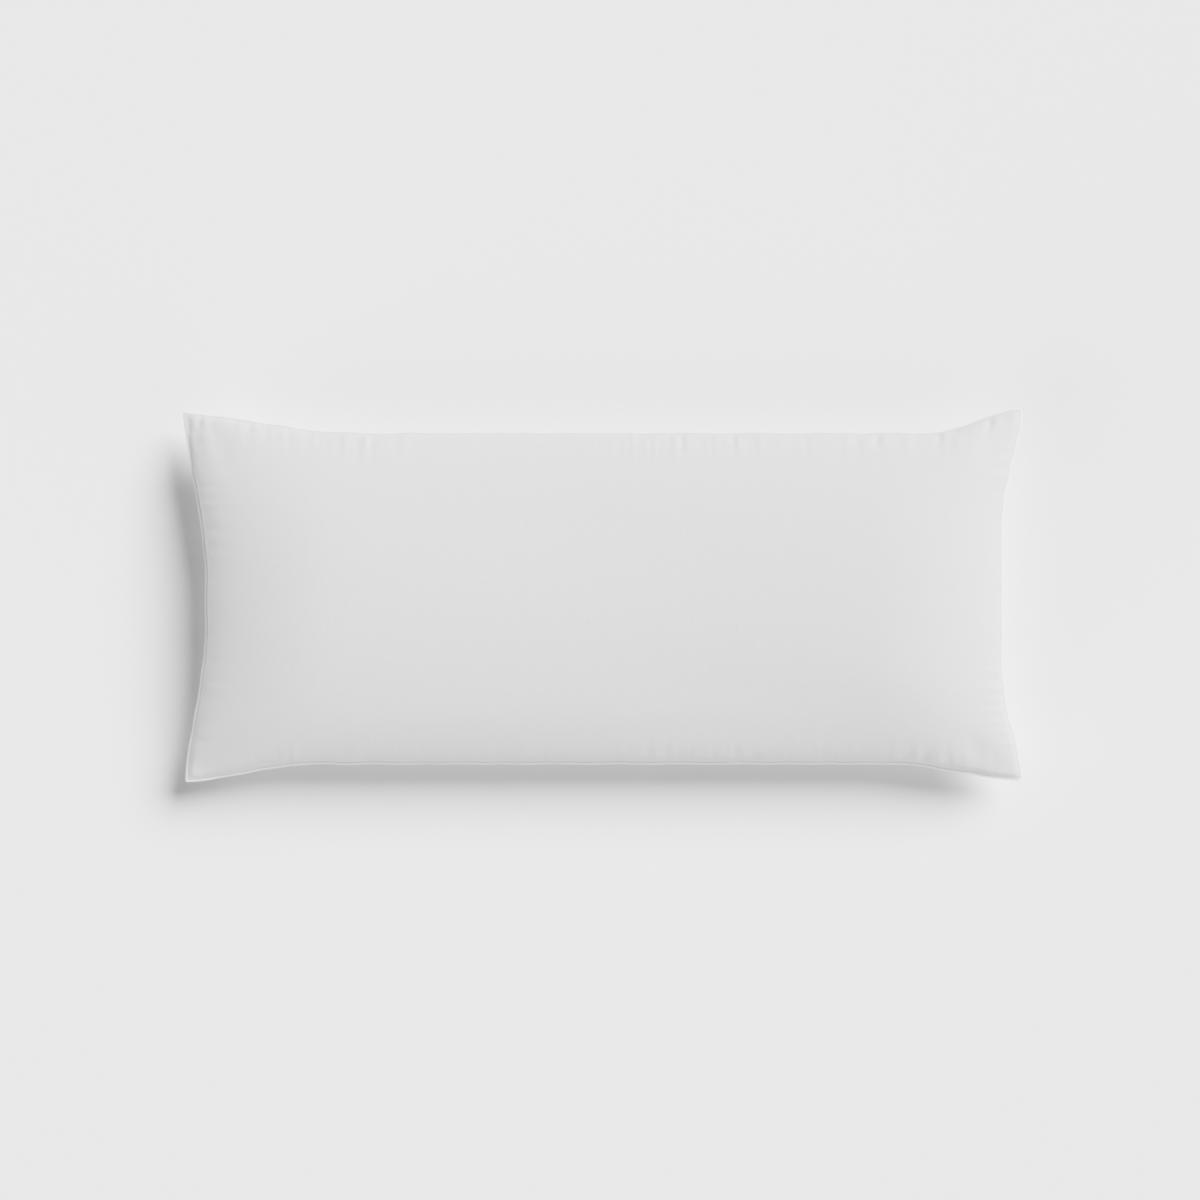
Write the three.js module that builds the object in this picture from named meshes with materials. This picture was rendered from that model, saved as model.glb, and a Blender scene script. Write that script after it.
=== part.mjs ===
// A lumbar pillow insert: two rectangles of white cotton sewn together all round, turned, filled and
// sewn shut, lying on its back. Sizes are in millimetres. X runs along the pillow, Y across it and
// Z up. The origin is on the surface that it lies on, under the middle of its outline.
import * as THREE from "three";

const { smoothstep, lerp, degToRad } = THREE.MathUtils;

// Seen from above: the tip of each corner, how high it stands, and the radius that it is sewn to
const CORNERS = {
  nearLeft: { x: -343.4, y: -154.2, z: 35, radius: 2 },
  nearRight: { x: 346.7, y: -152.7, z: 38, radius: 6 },
  farLeft: { x: -344.7, y: 151.2, z: 40, radius: 2 },
  farRight: { x: 345.4, y: 153.8, z: 44, radius: 5 },
};

// Each side runs along one axis from corner to corner and is drawn in along the other one: where its
// middle lies and how high the seam stands there. For its two ends, how far from the corner it has
// drawn in fully, and how sharply it sets off
const SIDES = {
  near: {
    from: "nearLeft", to: "nearRight", along: "x", across: "y",
    middle: -138.8, z: 47, reachFrom: 109, reachTo: 110, leanFrom: 0.35, leanTo: 0,
  },
  far: {
    from: "farLeft", to: "farRight", along: "x", across: "y",
    middle: 133.8, z: 50, reachFrom: 148, reachTo: 78, leanFrom: 0.7, leanTo: 0.1,
  },
  left: {
    from: "nearLeft", to: "farLeft", along: "y", across: "x",
    middle: -325.5, z: 46, reachFrom: 127, reachTo: 139, leanFrom: 0.5, leanTo: 0.7,
  },
  right: {
    from: "nearRight", to: "farRight", along: "y", across: "x",
    middle: 329, z: 49, reachFrom: 92, reachTo: 94, leanFrom: 0.5, leanTo: 0.2,
  },
};

// The knife edge: a ridge of turned cloth outside the stitch line
const RIM_WIDTH = 1.8;
const RIM_HALF_THICKNESS = 0.75;
const STITCH_HALF_THICKNESS = 0.5;

// How far the filling lifts the upper panel off the surface that spans the seam, and would push the
// lower one below it, and how steeply each leaves the seam: the lower this power, the steeper
const PANELS = {
  upper: { crown: 37, shoulder: 0.5 },
  lower: { crown: 71, shoulder: 0.75 },
};
// Powers that say how full the crown is across the pillow and towards its two ends
const ACROSS_FULLNESS = 2.2;
const END_FULLNESS = 2.5;
const END_LENGTH = 125;
// The lower panel bends on to the surface below within this much height either way
const SETTLING = 9;

// Uneven filling under the upper panel: the middle, reach and height of each swell or hollow
const SWELLS = [
  { x: -205, y: 25, reachX: 120, reachY: 85, height: 3 },
  { x: 215, y: 35, reachX: 110, reachY: 75, height: 3 },
  { x: 110, y: -85, reachX: 110, reachY: 45, height: -3.8 },
  { x: -160, y: -110, reachX: 120, reachY: 30, height: 2 },
  { x: -20, y: 60, reachX: 90, reachY: 50, height: -1.5 },
];

// Soft folds that run in from the seam: where each starts, its heading, length, width and depth
const FOLDS = [
  { x: -336, y: 146, heading: -78, length: 46, width: 7, depth: 2.2 },
  { x: -322, y: 145, heading: -66, length: 60, width: 9, depth: 1.6 },
  { x: 334, y: 148, heading: -118, length: 52, width: 9, depth: 1.4 },
  { x: 316, y: 142, heading: -102, length: 40, width: 8, depth: 1.2 },
  { x: -334, y: -146, heading: 38, length: 58, width: 9, depth: 1.4 },
  { x: 334, y: -146, heading: 140, length: 54, width: 9, depth: 1.4 },
  { x: 312, y: -145, heading: 112, length: 40, width: 8, depth: 1.2 },
];

// Grid lines along and across the pillow, and how much closer they lie towards the sides
const LINES_ALONG = 58;
const LINES_ACROSS = 30;
const CROWDING = 0.66;

const LENGTH = CORNERS.nearRight.x - CORNERS.nearLeft.x;
const WIDTH = CORNERS.farRight.y - CORNERS.nearRight.y;

// From 1 to 0 over a reach: level at the far end, and setting off with a slope at the near one
function pull(distance, reach, lean) {
  const share = Math.min(1, distance / reach);
  return 1 - smoothstep(share, 0, 1) - lean * share * (1 - share) ** 2;
}

function sidePoint(side, share) {
  const first = CORNERS[side.from];
  const last = CORNERS[side.to];
  const run = last[side.along] - first[side.along];
  const pullFirst = pull(share * run, side.reachFrom, side.leanFrom);
  const pullLast = pull((1 - share) * run, side.reachTo, side.leanTo);
  const place = (axis, middle) =>
    middle + (first[axis] - middle) * pullFirst + (last[axis] - middle) * pullLast;
  return new THREE.Vector3(0, 0, place("z", side.z))
    .setComponent(side.along === "x" ? 0 : 1, first[side.along] + share * run)
    .setComponent(side.across === "x" ? 0 : 1, place(side.across, side.middle));
}

// A corner sewn to a radius: squares near the tip are pressed into a quarter circle
function roundedCorner(point, corner, u, v) {
  const left = corner.x < 0;
  const near = corner.y < 0;
  const a = 1 - (left ? u : 1 - u) * LENGTH / corner.radius;
  const b = 1 - (near ? v : 1 - v) * WIDTH / corner.radius;
  if (a <= 0 || b <= 0) return;
  point.x += (left ? 1 : -1) * corner.radius * a * (1 - Math.sqrt(1 - b * b / 2));
  point.y += (near ? 1 : -1) * corner.radius * b * (1 - Math.sqrt(1 - a * a / 2));
}

// The surface that spans the seam, a Coons patch: u runs from left to right and v from near to far
function seamSurface(u, v) {
  const { nearLeft, nearRight, farLeft, farRight } = CORNERS;
  const point = new THREE.Vector3()
    .addScaledVector(sidePoint(SIDES.near, u), 1 - v)
    .addScaledVector(sidePoint(SIDES.far, u), v)
    .addScaledVector(sidePoint(SIDES.left, v), 1 - u)
    .addScaledVector(sidePoint(SIDES.right, v), u);
  for (const axis of ["x", "y", "z"]) {
    const near = lerp(nearLeft[axis], nearRight[axis], u);
    const far = lerp(farLeft[axis], farRight[axis], u);
    point[axis] -= lerp(near, far, v);
  }
  Object.values(CORNERS).forEach((corner) => roundedCorner(point, corner, u, v));
  return point;
}

// How much of the full crown a point has, from none on the stitch line to all over the middle
function crownShare(u, v, shoulder) {
  const fromEnd = Math.min(u, 1 - u) * LENGTH - RIM_WIDTH;
  const fromSide = Math.min(v, 1 - v) * WIDTH - RIM_WIDTH;
  if (fromEnd <= 0 || fromSide <= 0) return 0;
  const towardsEnd = Math.max(0, 1 - fromEnd / END_LENGTH);
  const towardsSide = 1 - fromSide / (WIDTH / 2 - RIM_WIDTH);
  return ((1 - towardsEnd ** END_FULLNESS) * (1 - towardsSide ** ACROSS_FULLNESS)) ** shoulder;
}

function swellHeight(point) {
  return SWELLS.reduce((sum, swell) => {
    const x = (point.x - swell.x) / swell.reachX;
    const y = (point.y - swell.y) / swell.reachY;
    return sum + swell.height * Math.exp(-(x * x + y * y));
  }, 0);
}

// Folds are deepest a third of the way in and fade out at both ends and sideways
function foldDepth(point) {
  return FOLDS.reduce((sum, fold) => {
    const heading = degToRad(fold.heading);
    const x = point.x - fold.x;
    const y = point.y - fold.y;
    const inward = (x * Math.cos(heading) + y * Math.sin(heading)) / fold.length;
    const aside = (y * Math.cos(heading) - x * Math.sin(heading)) / fold.width;
    if (inward <= 0 || inward >= 1) return sum;
    return sum + fold.depth * Math.sin(Math.PI * Math.sqrt(inward)) * Math.exp(-aside * aside);
  }, 0);
}

// The lower panel lies flat where its crown would pass through the surface
function settled(height) {
  if (height <= -SETTLING) return 0;
  if (height >= SETTLING) return height;
  return (height + SETTLING) ** 2 / (4 * SETTLING);
}

function panelPoint(u, v, panel) {
  const { crown, shoulder } = PANELS[panel];
  const point = seamSurface(u, v);
  const share = crownShare(u, v, shoulder);
  const onEdge = u === 0 || u === 1 || v === 0 || v === 1;
  const halfThickness = onEdge ? RIM_HALF_THICKNESS : STITCH_HALF_THICKNESS;
  // Folds need filling under them, so they grow with the crown near the seam
  const fold = foldDepth(point) * Math.min(1, share * 8);
  if (panel === "upper") {
    point.z += halfThickness + crown * share + swellHeight(point) * share - fold;
  } else {
    point.z = settled(point.z - halfThickness - crown * share + fold);
  }
  return point;
}

// Grid lines from 0 to 1: the rim's own two at each end, the rest closer together towards the sides
function gridLines(count, length) {
  const rim = RIM_WIDTH / length;
  const inner = Array.from({ length: count + 1 }, (unused, index) => {
    const share = index / count;
    return lerp(rim, 1 - rim, share - CROWDING * Math.sin(2 * Math.PI * share) / (2 * Math.PI));
  });
  return [0, ...inner, 1];
}

function pillowGeometry() {
  const alongLines = gridLines(LINES_ALONG, LENGTH);
  const acrossLines = gridLines(LINES_ACROSS, WIDTH);
  const columns = alongLines.length;
  const rows = acrossLines.length;
  const positions = [];
  for (const panel of ["upper", "lower"]) {
    for (const v of acrossLines) {
      for (const u of alongLines) positions.push(...panelPoint(u, v, panel).toArray());
    }
  }

  const triangles = [];
  const lower = columns * rows;
  const vertex = (column, row) => row * columns + column;
  for (let row = 0; row + 1 < rows; row += 1) {
    for (let column = 0; column + 1 < columns; column += 1) {
      const a = vertex(column, row);
      const b = vertex(column + 1, row);
      const c = vertex(column + 1, row + 1);
      const d = vertex(column, row + 1);
      // Each quad is split along the diagonal that points at its own corner of the pillow
      const risesToCorner = (column < columns / 2) === (row < rows / 2);
      const halves = risesToCorner ? [[a, b, c], [a, c, d]] : [[a, b, d], [b, c, d]];
      for (const [first, second, third] of halves) {
        triangles.push(first, second, third);
        triangles.push(first + lower, third + lower, second + lower);
      }
    }
  }

  // The turned edge of the rim joins the two panels all round
  const edge = [];
  for (let column = 0; column + 1 < columns; column += 1) edge.push(vertex(column, 0));
  for (let row = 0; row + 1 < rows; row += 1) edge.push(vertex(columns - 1, row));
  for (let column = columns - 1; column > 0; column -= 1) edge.push(vertex(column, rows - 1));
  for (let row = rows - 1; row > 0; row -= 1) edge.push(vertex(0, row));
  edge.forEach((start, index) => {
    const end = edge[(index + 1) % edge.length];
    triangles.push(start, start + lower, end + lower, start, end + lower, end);
  });

  const geometry = new THREE.BufferGeometry();
  geometry.setAttribute("position", new THREE.Float32BufferAttribute(positions, 3));
  geometry.setIndex(triangles);
  geometry.computeVertexNormals();
  return geometry;
}

const whiteCotton = new THREE.MeshStandardMaterial({ color: 0xececea, roughness: 0.92, metalness: 0 });
const pillow = new THREE.Mesh(pillowGeometry(), whiteCotton);
pillow.name = "pillow";

const part = new THREE.Group();
part.add(pillow);

export default part;
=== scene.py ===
"""A lumbar pillow insert in white cotton, lying on its back, seen from straight above."""

import math
from collections import namedtuple

import bpy
import numpy as np
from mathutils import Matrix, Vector


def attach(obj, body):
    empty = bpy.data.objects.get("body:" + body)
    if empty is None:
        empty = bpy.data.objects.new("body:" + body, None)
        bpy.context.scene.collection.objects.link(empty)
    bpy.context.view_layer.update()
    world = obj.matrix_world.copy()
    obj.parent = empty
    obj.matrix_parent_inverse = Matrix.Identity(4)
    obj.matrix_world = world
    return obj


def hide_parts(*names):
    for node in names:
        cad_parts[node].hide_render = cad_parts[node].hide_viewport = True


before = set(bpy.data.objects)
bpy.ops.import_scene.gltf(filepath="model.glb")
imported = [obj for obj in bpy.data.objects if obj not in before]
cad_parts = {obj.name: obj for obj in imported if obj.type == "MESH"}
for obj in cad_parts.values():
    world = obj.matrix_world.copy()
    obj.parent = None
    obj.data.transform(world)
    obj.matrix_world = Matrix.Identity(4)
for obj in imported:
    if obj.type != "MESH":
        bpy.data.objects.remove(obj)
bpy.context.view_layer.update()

X, Y, Z = 0, 1, 2
Corner = namedtuple("Corner", "at radius")
Side = namedtuple("Side", "ends along across middle height reach lean gather")
Swell = namedtuple("Swell", "at reach height")
Fold = namedtuple("Fold", "at heading length width depth")
Bunch = namedtuple("Bunch", "side at reach strength")
Light = namedtuple("Light", "name azimuth elevation spread strength")

# Seen from above, in metres: the tip of each corner, its height, and the radius that it is sewn to
CORNERS = {
    "near_left": Corner(at=(-0.3434, -0.1542, 0.035), radius=0.002),
    "near_right": Corner(at=(0.3467, -0.1527, 0.038), radius=0.006),
    "far_left": Corner(at=(-0.3447, 0.1512, 0.040), radius=0.002),
    "far_right": Corner(at=(0.3454, 0.1538, 0.044), radius=0.005),
}
# Each side runs along one axis and is drawn in along the other: where its middle lies and how high
# the seam stands there. For its two ends, how far from the corner it has drawn in fully, and how
# sharply it sets off. Gather is how much longer the cloth beside the stitch line is than the line
SIDES = {
    "near": Side(
        ends=("near_left", "near_right"), along=X, across=Y,
        middle=-0.1388, height=0.047, reach=(0.109, 0.110), lean=(0.35, 0.0), gather=0.022,
    ),
    "far": Side(
        ends=("far_left", "far_right"), along=X, across=Y,
        middle=0.1338, height=0.050, reach=(0.148, 0.078), lean=(0.7, 0.1), gather=0.034,
    ),
    "left": Side(
        ends=("near_left", "far_left"), along=Y, across=X,
        middle=-0.3255, height=0.046, reach=(0.127, 0.139), lean=(0.5, 0.7), gather=0.018,
    ),
    "right": Side(
        ends=("near_right", "far_right"), along=Y, across=X,
        middle=0.3290, height=0.049, reach=(0.092, 0.094), lean=(0.5, 0.2), gather=0.016,
    ),
}
LENGTH = CORNERS["near_right"].at[X] - CORNERS["near_left"].at[X]
WIDTH = CORNERS["far_right"].at[Y] - CORNERS["near_right"].at[Y]

# The seam wanders by about this much, in waves of these lengths, and the cloth beside it follows
# this far in. It sets in away from the corners, and sooner the higher its onset is
SEAM_WANDER = 0.0003
SEAM_WAVELENGTHS = (0.018, 0.070)
SEAM_WAVES = 12
SEAM_WANDER_REACH = 0.008
SEAM_WANDER_ONSET = 20
# Random draws: the first seed for the seam's wander, and how many seeds each side has to itself
SEAM_SEED = 100
SIDE_SEEDS = 10

# The knife edge: a ridge of turned cloth outside the stitch line. Each row of its cross section is
# a share of the way out from the stitch line and half the thickness there
RIM_WIDTH = 0.0018
STITCH_HALF_THICKNESS = 0.0011
RIM_SECTION = ((0.25, 0.00105), (0.5, 0.0009), (0.72, 0.00068), (0.9, 0.0004), (1.0, 0.0))

# How far the filling lifts the upper panel off the surface that spans the seam, and would push the
# lower one below it, and how steeply each leaves the seam: the lower this power, the steeper
UPPER = {"crown": 0.037, "shoulder": 0.5}
LOWER = {"crown": 0.071, "shoulder": 0.75}
# How full the crown is across the pillow and towards its two ends, as powers
ACROSS_FULLNESS = 2.2
END_FULLNESS = 2.5
END_LENGTH = 0.125
# The lower panel bends on to the floor within this much height either way
SETTLING = 0.009

# Uneven filling under the upper panel
SWELLS = (
    Swell(at=(-0.205, 0.025), reach=(0.120, 0.085), height=0.0030),
    Swell(at=(0.215, 0.035), reach=(0.110, 0.075), height=0.0030),
    Swell(at=(0.110, -0.085), reach=(0.110, 0.045), height=-0.0038),
    Swell(at=(-0.160, -0.110), reach=(0.120, 0.030), height=0.0020),
    Swell(at=(-0.020, 0.060), reach=(0.090, 0.050), height=-0.0015),
)

# Soft folds that run in from the seam, with their headings in degrees
FOLDS = (
    Fold(at=(-0.336, 0.146), heading=-78, length=0.046, width=0.0070, depth=0.0022),
    Fold(at=(-0.322, 0.145), heading=-66, length=0.060, width=0.0090, depth=0.0016),
    Fold(at=(0.334, 0.148), heading=-118, length=0.052, width=0.0090, depth=0.0014),
    Fold(at=(0.316, 0.142), heading=-102, length=0.040, width=0.0080, depth=0.0012),
    Fold(at=(-0.334, -0.146), heading=38, length=0.058, width=0.0090, depth=0.0014),
    Fold(at=(0.334, -0.146), heading=140, length=0.054, width=0.0090, depth=0.0014),
    Fold(at=(0.312, -0.145), heading=112, length=0.040, width=0.0080, depth=0.0012),
)
# Small creases that only the fine upper panel has
CREASES = (
    Fold(at=(-0.3402, 0.1502), heading=-85, length=0.024, width=0.0021, depth=0.0036),
    Fold(at=(-0.3300, 0.1480), heading=-88, length=0.015, width=0.0022, depth=0.0018),
    Fold(at=(-0.2865, 0.1460), heading=-96, length=0.014, width=0.0022, depth=0.0018),
    Fold(at=(0.2255, 0.1330), heading=-100, length=0.014, width=0.0028, depth=0.0016),
    Fold(at=(0.2747, 0.1350), heading=-80, length=0.013, width=0.0026, depth=0.0017),
    Fold(at=(0.2911, 0.1385), heading=-110, length=0.010, width=0.0022, depth=0.0022),
    Fold(at=(0.3190, 0.1450), heading=-105, length=0.015, width=0.0026, depth=0.0018),
    Fold(at=(-0.3325, 0.0700), heading=-38, length=0.026, width=0.0030, depth=0.0010),
    Fold(at=(-0.3290, 0.0520), heading=24, length=0.020, width=0.0028, depth=0.0009),
    Fold(at=(0.2600, -0.1400), heading=62, length=0.022, width=0.0026, depth=0.0010),
    Fold(at=(0.2850, -0.1440), heading=96, length=0.018, width=0.0024, depth=0.0010),
)
# Folds and gathers grow with the crown and are full where it has this fraction of its height
FULL_FOLDS_FROM = 1 / 8

# The simulated cloth: the size of its cells, how far in from the stitch line its extra length for
# gathers goes, and the uneven waves that it starts with there
CELL = 0.0036
GATHER_REACH = 0.013
GATHER_START = 0.0005
GATHER_START_REACH = 1.3 * GATHER_REACH
GATHER_WAVELENGTHS = (0.008, 0.018)
GATHER_WAVES = 14
# Gathers are this strong all along the seam, and stronger where they bunch
GATHER_EVENLY = 0.35
BUNCHES = (
    Bunch("far", at=-0.228, reach=0.052, strength=1.7),
    Bunch("far", at=0.068, reach=0.070, strength=1.1),
    Bunch("far", at=0.228, reach=0.022, strength=1.2),
    Bunch("far", at=0.290, reach=0.022, strength=1.2),
    Bunch("near", at=-0.250, reach=0.035, strength=0.6),
    Bunch("near", at=0.060, reach=0.050, strength=0.5),
    Bunch("near", at=0.265, reach=0.035, strength=0.5),
    Bunch("left", at=0.065, reach=0.030, strength=1.0),
    Bunch("left", at=-0.095, reach=0.025, strength=0.7),
    Bunch("right", at=0.100, reach=0.022, strength=0.8),
    Bunch("right", at=-0.085, reach=0.030, strength=0.6),
)
# Away from the seam the cloth is this much shorter than its start, so that it is pulled smooth
TAUTNESS = 0.008
# The filling presses towards this many times the volume that the cloth starts with
FULLER = 1.04
FRAMES = 20
CLOTH_SETTINGS = {
    "quality": 8, "mass": 0.3,
    "tension_stiffness": 60, "compression_stiffness": 60,
    "shear_stiffness": 15, "bending_stiffness": 0.4,
    "tension_damping": 10, "compression_damping": 10, "shear_damping": 10, "air_damping": 2,
    "use_pressure": True, "use_pressure_volume": True,
    "uniform_pressure_force": 0, "pressure_factor": 10,
}

COTTON_COLOUR = (0.705, 0.705, 0.703)
COTTON_LOOK = {
    "Base Color": (*COTTON_COLOUR, 1), "Roughness": 0.88, "Specular IOR Level": 0.25,
    "Sheen Weight": 0.12, "Sheen Roughness": 0.5,
}
# How much paler the cloth is painted on the knife edge, a painted highlight that stands in for
# light getting through it, and what share of that it is painted by on the stitch line: below zero
# is painted shade along the stitch line
EDGE_PAINTED_LIGHT = 0.3
STITCH_PAINTED_SHADE = -0.25
# The relief of the threads: their pitch, how many times longer than wide a slub is, and how much
# of the weave and of the slubs goes into it
THREAD_PITCH = 0.00045
THREAD_BUMP = {"Strength": 0.5, "Distance": 0.00012}
SLUB_LENGTH = 24
WEAVE_SHARE = 0.5
SLUB_SHARE = 1.4
RUMPLE_SIZE = 0.006
RUMPLE_DETAIL = 2
RUMPLE_BUMP = {"Strength": 0.6, "Distance": 0.00025}
# Faint cloudiness: how much the shade varies either way, the size of a cloud and how it is drawn
# out, the share of the slubs in it, and the values between which the shade changes
CLOUD_CONTRAST = 0.02
CLOUD_SIZE = 0.004
CLOUD_STRETCH = (1, 3, 1)
CLOUD_DETAIL = 3
CLOUD_SLUBS = 0.5
CLOUD_LOWEST = 0.6
CLOUD_HIGHEST = 1.4

# The floor lies a little under the pillow, so that the two don't share a face
FLOOR_HALF = 8
FLOOR_DROP = 0.0004
FLOOR_LOOK = {"Base Color": (0.95, 0.95, 0.95, 1), "Roughness": 1.0, "Specular IOR Level": 0}

# Suns: degrees round from the right-hand end, degrees above the floor, degrees across, strength
LIGHTS = (
    Light("key", azimuth=44, elevation=43, spread=36, strength=4.87),
    Light("fill_left", azimuth=218, elevation=19, spread=40, strength=1.4),
    Light("fill_right", azimuth=317, elevation=26, spread=40, strength=0.75),
)
WORLD_LOOK = {"Color": (1, 1, 1, 1), "Strength": 0.04}

# The photograph's frame: 1200 pixels of 0.82 mm at the height of the seam
PIXEL = 0.00082
FRAME_PIXELS = 1200
FRAME_CENTRE = (-0.0016, -0.0041)
SEAM_HEIGHT = 0.047
CAMERA_HEIGHT = 2.733
CAMERA_REACH = 50
SENSOR_MILLIMETRES = 36


def eased(distance, reach, lean):
    """From 0 to 1 over a reach, sloping at the near end by its lean and level at the far one."""
    share = np.clip(distance / reach, 0, 1)
    return share * share * (3 - 2 * share) + lean * share * (1 - share) ** 2


def wander(along, wavelengths, waves, seed):
    """The sum of waves with these lengths along a seam, mostly between -1 and 1."""
    random = np.random.default_rng(seed)
    lengths = random.uniform(*wavelengths, waves)
    phases = random.uniform(0, 2 * math.pi, waves)
    heights = np.cos(2 * math.pi * along[..., None] / lengths + phases)
    return heights.sum(axis=-1) / math.sqrt(waves)


def bell(distance, reach):
    """1 at no distance, fading out over about twice the reach."""
    return np.exp(-((distance / reach) ** 2))


def edge_distances(u, v):
    """How far a point of the flat cloth is from the stitch line of each side."""
    return {
        "left": u * LENGTH - RIM_WIDTH, "right": (1 - u) * LENGTH - RIM_WIDTH,
        "near": v * WIDTH - RIM_WIDTH, "far": (1 - v) * WIDTH - RIM_WIDTH,
    }


def side_points(name, share):
    """Points of one side's edge, for shares of the way from its first corner to its last."""
    side = SIDES[name]
    first, last = (CORNERS[end].at for end in side.ends)
    run = last[side.along] - first[side.along]
    pull_first = 1 - eased(share * run, side.reach[0], side.lean[0])
    pull_last = 1 - eased((1 - share) * run, side.reach[1], side.lean[1])
    points = np.zeros(share.shape + (3,))
    points[..., side.along] = first[side.along] + share * run
    for axis, middle in ((side.across, side.middle), (Z, side.height)):
        from_first = (first[axis] - middle) * pull_first
        from_last = (last[axis] - middle) * pull_last
        points[..., axis] = middle + from_first + from_last
    return points


def round_corner(points, corner, u, v):
    """Presses the square tip of a corner into a quarter circle."""
    inward_x, inward_y = (-np.sign(corner.at[axis]) for axis in (X, Y))
    a = 1 - (u if inward_x > 0 else 1 - u) * LENGTH / corner.radius
    b = 1 - (v if inward_y > 0 else 1 - v) * WIDTH / corner.radius
    tip = (a > 0) & (b > 0)
    a, b = np.where(tip, a, 0), np.where(tip, b, 0)
    points[..., X] += inward_x * corner.radius * a * (1 - np.sqrt(1 - b * b / 2))
    points[..., Y] += inward_y * corner.radius * b * (1 - np.sqrt(1 - a * a / 2))


def seam_surface(u, v):
    """The surface that spans the seam: u runs from left to right and v from near to far."""
    tips = {name: np.array(corner.at) for name, corner in CORNERS.items()}
    right, far = u[..., None], v[..., None]
    left, near = 1 - right, 1 - far
    points = side_points("near", u) * near + side_points("far", u) * far
    points += side_points("left", v) * left + side_points("right", v) * right
    points -= (tips["near_left"] * left + tips["near_right"] * right) * near
    points -= (tips["far_left"] * left + tips["far_right"] * right) * far
    for corner in CORNERS.values():
        round_corner(points, corner, u, v)
    for number, (name, distance) in enumerate(edge_distances(u, v).items()):
        side = SIDES[name]
        share = u if side.along == X else v
        onset = np.clip(SEAM_WANDER_ONSET * share * (1 - share), 0, 1)
        strength = bell(distance, SEAM_WANDER_REACH) * onset
        for axis in (side.across, Z):
            seed = SEAM_SEED + SIDE_SEEDS * number + axis
            waves = wander(points[..., side.along], SEAM_WAVELENGTHS, SEAM_WAVES, seed)
            points[..., axis] += SEAM_WANDER * waves * strength
    return points


def crown_share(u, v, shoulder):
    """How much of the full crown a point has: none on the stitch line, and all in the middle."""
    far_from = edge_distances(u, v)
    share = 1
    for first, last, reach, fullness in (
        ("left", "right", END_LENGTH, END_FULLNESS),
        ("near", "far", WIDTH / 2 - RIM_WIDTH, ACROSS_FULLNESS),
    ):
        distance = np.maximum(np.minimum(far_from[first], far_from[last]), 0)
        share = share * (1 - np.clip(1 - distance / reach, 0, 1) ** fullness) ** shoulder
    return share


def filled_share(share):
    """How full folds and gathers are for a share of the crown: they need filling under them."""
    return np.minimum(1, share / FULL_FOLDS_FROM)


def gather_strength(name, along):
    """How strongly the cloth is gathered at places along a side."""
    strength = GATHER_EVENLY
    for bunch in BUNCHES:
        if bunch.side == name:
            strength = strength + bunch.strength * bell(along - bunch.at, bunch.reach)
    return strength


def sheet_shares(cells, length):
    """Shares of the flat cloth's length for grid lines from stitch line to stitch line."""
    rim = RIM_WIDTH / length
    return np.linspace(rim, 1 - rim, cells + 1)


def sheet_grid(columns, rows):
    """How far along and across the flat cloth each point of a panel's grid lies, as shares."""
    along, across = sheet_shares(columns, LENGTH), sheet_shares(rows, WIDTH)
    return np.meshgrid(along, across, indexing="ij")


def panel_start(u, v, up):
    """A panel as the filling first pushes it out, with small gathers sewn in beside the seam."""
    points = seam_surface(u, v)
    panel = UPPER if up else LOWER
    share = crown_share(u, v, panel["shoulder"])
    points[..., Z] += share * (panel["crown"] if up else -panel["crown"])
    for number, (name, distance) in enumerate(edge_distances(u, v).items()):
        along = points[..., SIDES[name].along]
        near_seam = bell(distance, GATHER_START_REACH) * filled_share(share)
        waves = wander(along, GATHER_WAVELENGTHS, GATHER_WAVES, SIDE_SEEDS * number + up)
        points[..., Z] += GATHER_START * waves * near_seam * gather_strength(name, along)
    return points


def panel_rest(start, u, v):
    """The panel's unstretched size: longer beside the seam and a little short elsewhere."""
    rest = start.copy()
    distances = edge_distances(u, v)
    for axis, pair in ((X, ("near", "far")), (Y, ("left", "right"))):
        stretch = -TAUTNESS
        for name in pair:
            gather = SIDES[name].gather * gather_strength(name, start[..., axis])
            stretch = stretch + bell(distances[name], GATHER_REACH) * (gather + TAUTNESS)
        rest[..., axis] *= 1 + stretch
    return rest


def joined_panels(upper, lower):
    """Vertices of two equal grids that share their outermost points, and each grid's numbers."""
    columns, rows = upper.shape[:2]
    upper_ids = np.arange(columns * rows).reshape(columns, rows)
    inner = np.zeros((columns, rows), bool)
    inner[1:-1, 1:-1] = True
    lower_ids = upper_ids.copy()
    lower_ids[inner] = columns * rows + np.arange(inner.sum())
    return np.concatenate([upper.reshape(-1, 3), lower[inner]]), upper_ids, lower_ids


def ring(grid):
    """The outermost entries of a grid, in order round it."""
    return np.concatenate([grid[:-1, 0], grid[-1, :-1], grid[:0:-1, -1], grid[0, :0:-1]])


def grid_faces(ids, up):
    """Quads over a grid of vertex numbers, facing up or down."""
    corners = (ids[:-1, :-1], ids[1:, :-1], ids[1:, 1:], ids[:-1, 1:])
    quads = np.stack(corners if up else corners[::-1], axis=-1)
    return quads.reshape(-1, 4).tolist()


def strip_faces(first, second):
    """Quads between two rings of vertex numbers."""
    quads = np.stack([first, second, np.roll(second, -1), np.roll(first, -1)], axis=-1)
    return quads.tolist()


def new_mesh(name, points, faces):
    """A new piece with this mesh, in the scene."""
    mesh = bpy.data.meshes.new(name)
    mesh.from_pydata(np.asarray(points).tolist(), [], faces)
    mesh.update()
    piece = bpy.data.objects.new(name, mesh)
    bpy.context.scene.collection.objects.link(piece)
    return piece


def volume_of(points, faces):
    """The volume inside a closed mesh of quads."""
    quads = np.array(faces)
    total = 0
    for a, b, c in ((0, 1, 2), (0, 2, 3)):
        first, second, third = (points[quads[:, corner]] for corner in (a, b, c))
        total += np.einsum("ij,ij->", first, np.cross(second, third)) / 6
    return total


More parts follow.
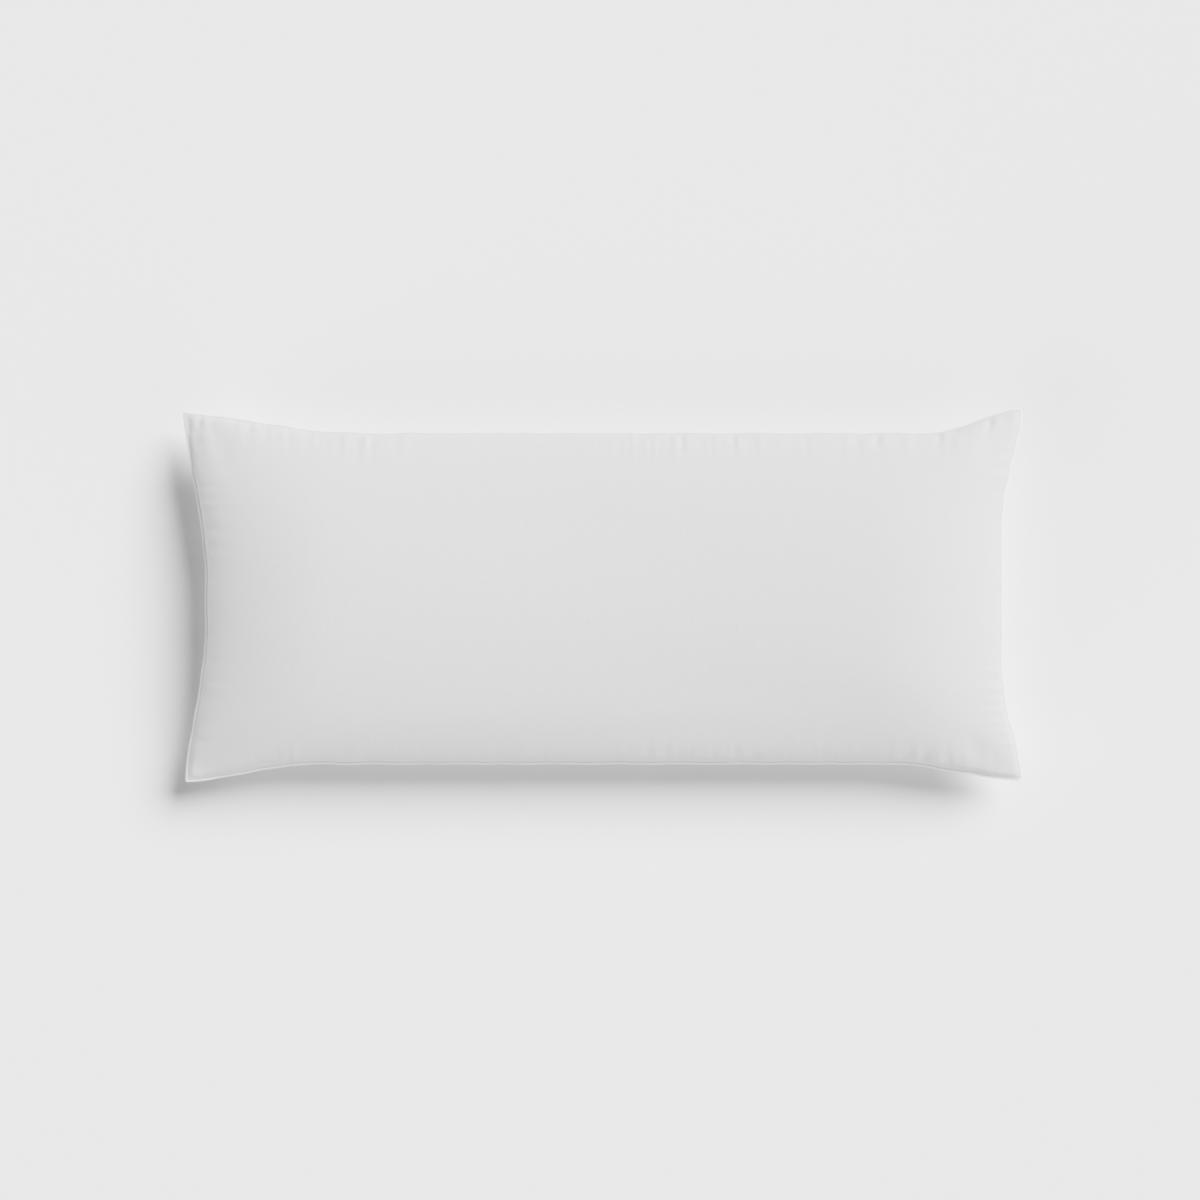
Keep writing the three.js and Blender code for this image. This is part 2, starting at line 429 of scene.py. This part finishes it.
def pressed_out(start_points, rest_points, faces, seam_ids):
    """Where the points of a cloth come to lie round its filling, with its seam held still."""
    cloth = new_mesh("cloth", start_points, faces)
    cloth.shape_key_add(name="start")
    rest = cloth.shape_key_add(name="rest")
    rest.data.foreach_set("co", rest_points.astype(np.float32).ravel())
    rest.value = 0
    seam = cloth.vertex_groups.new(name="seam")
    seam.add(seam_ids, 1, "REPLACE")

    modifier = cloth.modifiers.new("cloth", "CLOTH")
    settings = modifier.settings
    settings.rest_shape_key = rest
    settings.vertex_group_mass = "seam"
    for name, value in CLOTH_SETTINGS.items():
        setattr(settings, name, value)
    settings.target_volume = FULLER * volume_of(start_points, faces)
    settings.effector_weights.gravity = 0
    modifier.collision_settings.use_collision = False
    modifier.point_cache.frame_start = 1
    modifier.point_cache.frame_end = FRAMES
    for number in range(1, FRAMES + 1):
        bpy.context.scene.frame_set(number)
    shaped = cloth.evaluated_get(bpy.context.evaluated_depsgraph_get()).data
    found = np.zeros(len(start_points) * 3, np.float32)
    shaped.vertices.foreach_get("co", found)

    mesh = cloth.data
    bpy.data.objects.remove(cloth)
    bpy.data.meshes.remove(mesh)
    bpy.context.scene.frame_set(1)
    return found.reshape(-1, 3).astype(float)


def filled_panels():
    """Both panels as point grids, sewn together and pressed out by their filling."""
    u, v = sheet_grid(round(LENGTH / CELL), round(WIDTH / CELL))
    starts = [panel_start(u, v, up) for up in (True, False)]
    points, upper_ids, lower_ids = joined_panels(*starts)
    rest_points, _, _ = joined_panels(*(panel_rest(start, u, v) for start in starts))
    faces = grid_faces(upper_ids, True) + grid_faces(lower_ids, False)
    on_seam = np.ones(upper_ids.shape, bool)
    on_seam[1:-1, 1:-1] = False
    found = pressed_out(points, rest_points, faces, upper_ids[on_seam].tolist())
    return found[upper_ids], found[lower_ids]


def doubled(grid):
    """The grid with a point between each pair of neighbours, both ways, by the four-point rule."""
    for _ in (X, Y):
        ends = 2 * grid[:1] - grid[1:2], 2 * grid[-1:] - grid[-2:-1]
        padded = np.concatenate([ends[0], grid, ends[1]])
        between = (9 * (padded[1:-2] + padded[2:-1]) - padded[:-3] - padded[3:]) / 16
        finer = np.zeros((2 * len(grid) - 1,) + grid.shape[1:])
        finer[::2], finer[1::2] = grid, between
        grid = finer.swapaxes(0, 1)
    return grid


def swell_height(points):
    """How far the uneven filling lifts each point."""
    total = 0
    for swell in SWELLS:
        x, y = ((points[..., axis] - swell.at[axis]) / swell.reach[axis] for axis in (X, Y))
        total = total + swell.height * np.exp(-(x * x + y * y))
    return total


def fold_depth(points, folds):
    """How deep the folds are at each point: deepest a quarter of the way in."""
    total = 0
    for fold in folds:
        heading = math.radians(fold.heading)
        x, y = (points[..., axis] - fold.at[axis] for axis in (X, Y))
        inward = (x * math.cos(heading) + y * math.sin(heading)) / fold.length
        aside = (y * math.cos(heading) - x * math.sin(heading)) / fold.width
        along = np.sin(math.pi * np.sqrt(np.clip(inward, 0, 1)))
        total = total + fold.depth * along * np.exp(-aside * aside)
    return total


def settled(height):
    """The lower panel lies flat where its crown would pass through the surface."""
    soft = (height + SETTLING) ** 2 / (4 * SETTLING)
    return np.where(height <= -SETTLING, 0, np.where(height >= SETTLING, height, soft))


def panel_grid(points):
    """Where the points of a finished panel lie on the flat cloth, as shares."""
    return sheet_grid(points.shape[0] - 1, points.shape[1] - 1)


def finished_panels():
    """The upper panel, twice as fine as the lower one, and the lower panel, with their folds."""
    upper, lower = filled_panels()
    upper = doubled(upper)
    for points, panel, folds in ((upper, UPPER, FOLDS + CREASES), (lower, LOWER, FOLDS)):
        u, v = panel_grid(points)
        share = crown_share(u, v, panel["shoulder"])
        fold = fold_depth(points, folds) * filled_share(share)
        if panel is UPPER:
            points[..., Z] += STITCH_HALF_THICKNESS + swell_height(points) * share - fold
        else:
            points[..., Z] = settled(points[..., Z] - STITCH_HALF_THICKNESS + fold)
    return upper, lower


def rim_row(columns, rows, share_out, half_thickness):
    """Points round the rim, this share of the way out from the stitch line, and their u and v."""
    inset = RIM_WIDTH * (1 - share_out)
    u = np.linspace(inset / LENGTH, 1 - inset / LENGTH, columns + 1)
    v = np.linspace(inset / WIDTH, 1 - inset / WIDTH, rows + 1)
    u, v = (ring(grid) for grid in np.meshgrid(u, v, indexing="ij"))
    points = seam_surface(u, v)
    points[..., Z] += half_thickness
    return points, (u, v)


def pillow_mesh():
    """One closed mesh: a fine upper panel, a lower one with cells twice as large, and the rim.

    Returns its points, its faces and where each point lies on the flat cloth, in metres.
    """
    upper, lower = finished_panels()
    points, flat = [], []

    def numbered(new_points, shares):
        first = sum(len(group) for group in points)
        points.append(new_points.reshape(-1, 3))
        u, v = (share.ravel() for share in shares)
        flat.append(np.stack([u * LENGTH, v * WIDTH, np.zeros(u.shape)], axis=-1))
        return first + np.arange(len(points[-1])).reshape(new_points.shape[:-1])

    upper_ids, lower_ids = (numbered(panel, panel_grid(panel)) for panel in (upper, lower))
    faces = grid_faces(upper_ids, True) + grid_faces(lower_ids, False)
    columns, rows = upper.shape[0] - 1, upper.shape[1] - 1
    over = [ring(upper_ids)]
    for share_out, half_thickness in RIM_SECTION:
        over.append(numbered(*rim_row(columns, rows, share_out, half_thickness)))
    for inner, outer in zip(over, over[1:]):
        faces += strip_faces(inner, outer)

    # The edge has twice the points of the first row under it, so five-sided faces join the two
    edge = over[-1]
    under = []
    for share_out, half_thickness in RIM_SECTION[-2::-1]:
        under.append(numbered(*rim_row(columns // 2, rows // 2, share_out, -half_thickness)))
    under.append(ring(lower_ids))
    below = under[0], np.roll(under[0], -1)
    above = np.roll(edge, -2)[::2], np.roll(edge, -1)[::2], edge[::2]
    faces += np.stack(below + above, axis=-1).tolist()
    for outer, inner in zip(under, under[1:]):
        faces += strip_faces(outer, inner)
    return np.concatenate(points), faces, np.concatenate(flat)


def painted_edge_light(flat):
    """How much of the painted highlight each point has: all on the rim, a share below zero
    (painted shade) on the stitch line, and none inside it.
    """
    x, y = flat[:, X], flat[:, Y]
    inward = np.minimum(np.minimum(x, LENGTH - x), np.minimum(y, WIDTH - y))
    steps = (RIM_WIDTH * (1 - RIM_SECTION[0][0]), RIM_WIDTH, RIM_WIDTH + CELL / 2)
    return np.interp(inward, steps, (1, STITCH_PAINTED_SHADE, 0))


def feed(tree, node, inputs):
    """Fills a node's inputs: another node's output is joined, and any other value is set."""
    for name, value in inputs.items():
        if isinstance(value, bpy.types.NodeSocket):
            tree.links.new(value, node.inputs[name])
        else:
            node.inputs[name].default_value = value


def plain_material(name, look):
    """A material whose shader has these inputs."""
    material = bpy.data.materials.new(name)
    material.use_nodes = True
    feed(material.node_tree, material.node_tree.nodes["Principled BSDF"], look)
    return material


def cotton_material():
    """Plain weave: threads, slubs and faint cloudiness, laid out on the flat cloth, with a painted
    highlight on the knife edge and painted shade on the stitch line.
    """
    material = plain_material("cotton", COTTON_LOOK)
    tree = material.node_tree

    def node(kind, inputs, **settings):
        added = tree.nodes.new(kind)
        for name, value in settings.items():
            setattr(added, name, value)
        feed(tree, added, inputs)
        return added.outputs

    def maths(operation, *values):
        return node("ShaderNodeMath", dict(enumerate(values)), operation=operation)[0]

    cloth = node("ShaderNodeAttribute", {}, attribute_name="cloth")["Vector"]
    # The edge attribute carries the painted highlight of the knife edge and the painted shade of
    # the stitch line
    edge = node("ShaderNodeAttribute", {}, attribute_name="edge")["Fac"]

    def noise(size, detail, stretch=(1, 1, 1)):
        """Noise with features of about this size in metres, drawn out along the threads."""
        scale = [1 / (size * share) for share in stretch]
        placed = node("ShaderNodeMapping", {"Vector": cloth, "Scale": scale})["Vector"]
        inputs = {"Vector": placed, "Scale": 1, "Detail": detail}
        return node("ShaderNodeTexNoise", inputs)["Fac"]

    place = node("ShaderNodeSeparateXYZ", {"Vector": cloth})
    turns = [maths("MULTIPLY", place[axis], math.pi / THREAD_PITCH) for axis in (X, Y)]
    weave = maths("MULTIPLY", *(maths("SINE", turn) for turn in turns))
    warp_slubs = noise(THREAD_PITCH, 1, (1, SLUB_LENGTH, 1))
    weft_slubs = noise(THREAD_PITCH, 1, (SLUB_LENGTH, 1, 1))
    slubs = maths("ADD", warp_slubs, weft_slubs)
    threads = maths(
        "ADD", maths("MULTIPLY", weave, WEAVE_SHARE), maths("MULTIPLY", slubs, SLUB_SHARE)
    )
    woven = node("ShaderNodeBump", {**THREAD_BUMP, "Height": threads})["Normal"]
    rumples = noise(RUMPLE_SIZE, RUMPLE_DETAIL)
    rumpled = node("ShaderNodeBump", {**RUMPLE_BUMP, "Height": rumples, "Normal": woven})["Normal"]

    clouds = noise(CLOUD_SIZE, CLOUD_DETAIL, CLOUD_STRETCH)
    shade = node("ShaderNodeMapRange", {
        "Value": maths("ADD", clouds, maths("MULTIPLY", slubs, CLOUD_SLUBS)),
        "From Min": CLOUD_LOWEST, "From Max": CLOUD_HIGHEST,
        "To Min": 1 - CLOUD_CONTRAST, "To Max": 1 + CLOUD_CONTRAST,
    })["Result"]
    # The painted edge highlight and stitch shade, added to the random cloudiness of the cloth's
    # tone
    clouds_and_painted_light = maths("ADD", maths("MULTIPLY", edge, EDGE_PAINTED_LIGHT), shade)
    tint = node("ShaderNodeVectorMath", {0: COTTON_COLOUR, "Scale": clouds_and_painted_light}, operation="SCALE")
    shader = tree.nodes["Principled BSDF"]
    feed(tree, shader, {"Normal": rumpled, "Base Color": tint["Vector"]})
    return material


def add_attribute(mesh, name, kind, field, values):
    """Stores a value or a vector for each point of a mesh, for the material to read."""
    attribute = mesh.attributes.new(name, kind, "POINT")
    attribute.data.foreach_set(field, values.astype(np.float32).ravel())


def make_pillow():
    points, faces, flat = pillow_mesh()
    piece = new_mesh("pillow_case", points, faces)
    piece.data.polygons.foreach_set("use_smooth", [True] * len(faces))
    add_attribute(piece.data, "cloth", "FLOAT_VECTOR", "vector", flat)
    # Painted highlight on the knife edge and painted shade on the stitch line, for the material to
    # read
    add_attribute(piece.data, "edge", "FLOAT", "value", painted_edge_light(flat))
    piece.data.materials.append(cotton_material())
    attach(piece, "root")
    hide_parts("pillow")


def make_floor():
    ways = ((-1, -1), (1, -1), (1, 1), (-1, 1))
    corners = [(x * FLOOR_HALF, y * FLOOR_HALF, -FLOOR_DROP) for x, y in ways]
    floor = new_mesh("floor", corners, [[0, 1, 2, 3]])
    floor.data.materials.append(plain_material("pale_floor", FLOOR_LOOK))


def make_light():
    world = bpy.data.worlds.new("studio")
    world.use_nodes = True
    feed(world.node_tree, world.node_tree.nodes["Background"], WORLD_LOOK)
    bpy.context.scene.world = world
    for light in LIGHTS:
        lamp = bpy.data.lights.new(light.name, "SUN")
        lamp.energy = light.strength
        lamp.angle = math.radians(light.spread)
        sun = bpy.data.objects.new(light.name, lamp)
        bpy.context.scene.collection.objects.link(sun)
        azimuth, elevation = math.radians(light.azimuth), math.radians(light.elevation)
        level = math.cos(elevation)
        towards = (math.cos(azimuth) * level, math.sin(azimuth) * level, math.sin(elevation))
        sun.rotation_euler = Vector(towards).to_track_quat("Z", "Y").to_euler()


def make_camera():
    data = bpy.data.cameras.new("camera")
    data.sensor_width = SENSOR_MILLIMETRES
    data.lens = SENSOR_MILLIMETRES * CAMERA_HEIGHT / (PIXEL * FRAME_PIXELS)
    data.clip_end = CAMERA_REACH
    camera = bpy.data.objects.new("camera", data)
    bpy.context.scene.collection.objects.link(camera)
    camera.location = (*FRAME_CENTRE, CAMERA_HEIGHT + SEAM_HEIGHT)
    bpy.context.scene.camera = camera


make_camera()
make_pillow()
make_floor()
make_light()
bpy.context.scene.view_settings.view_transform = "AgX"
bpy.context.scene.view_settings.look = "AgX - Very High Contrast"
